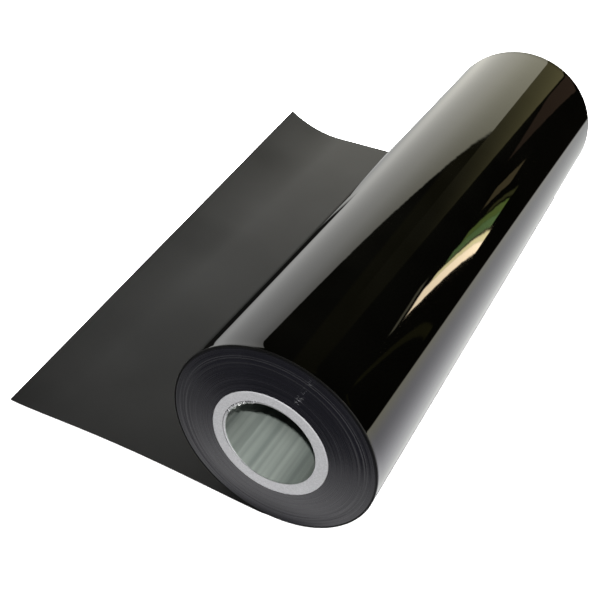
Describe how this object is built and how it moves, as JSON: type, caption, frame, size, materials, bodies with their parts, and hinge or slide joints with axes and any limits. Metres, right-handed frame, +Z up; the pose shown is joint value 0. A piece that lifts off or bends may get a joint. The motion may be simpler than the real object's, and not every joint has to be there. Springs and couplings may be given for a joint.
{
  "type": "roll of sign vinyl",
  "caption": "Roll of glossy black self-adhesive sign vinyl on a plastic core, with its free end laid out flat beside it and curling at one corner.",
  "frame": {"origin": "on the axis of the core's bore, half way along the core", "axes": "+Y along the bore, +Z up from the bench, -X the way the web leaves the bottom of the roll"},
  "size_m": [0.3949, 0.614, 0.1736],
  "materials": {
    "core_plastic": "saw-cut ends, smooth extruded bore",
    "tape": "plain",
    "web_edges": "slit edges of wound turns",
    "vinyl_film": "high gloss",
    "release_liner": "satin"
  },
  "bodies": {
    "laid_web": {"laid_strip_film": "vinyl_film", "laid_strip_liner": "release_liner", "run_in_film": "vinyl_film", "run_in_liner": "release_liner"},
    "take_off": {"take_off_film": "vinyl_film", "take_off_liner": "release_liner"},
    "roll": {"core_tube": "core_plastic", "start_tape": "tape", "wound_web": "web_edges", "outer_turn_liner": "release_liner", "outer_turn_film": "vinyl_film"},
    "free_end": {"free_end_film": "vinyl_film", "free_end_liner": "release_liner"}
  },
  "joints": [
    {"name": "roll_travel", "type": "slide", "parent": "laid_web", "child": "take_off", "axis": [-1, 0, 0], "range_m": [0, 0.12], "deforming": ["run_in_film", "run_in_liner"]},
    {"name": "roll_turn", "type": "hinge", "parent": "take_off", "child": "roll", "pos_m": [0, 0, 0], "axis": [0, -1, 0], "range_deg": [0, 80]},
    {"name": "free_end_lift", "type": "hinge", "parent": "laid_web", "child": "free_end", "pos_m": [-0.2, 0, -0.0868], "axis": [0, 1, 0], "range_deg": [0, 60]}
  ],
  "couplings": [
    {"joint": "roll_turn", "follows": "roll_travel", "rad_per_m": 11.56}
  ]
}
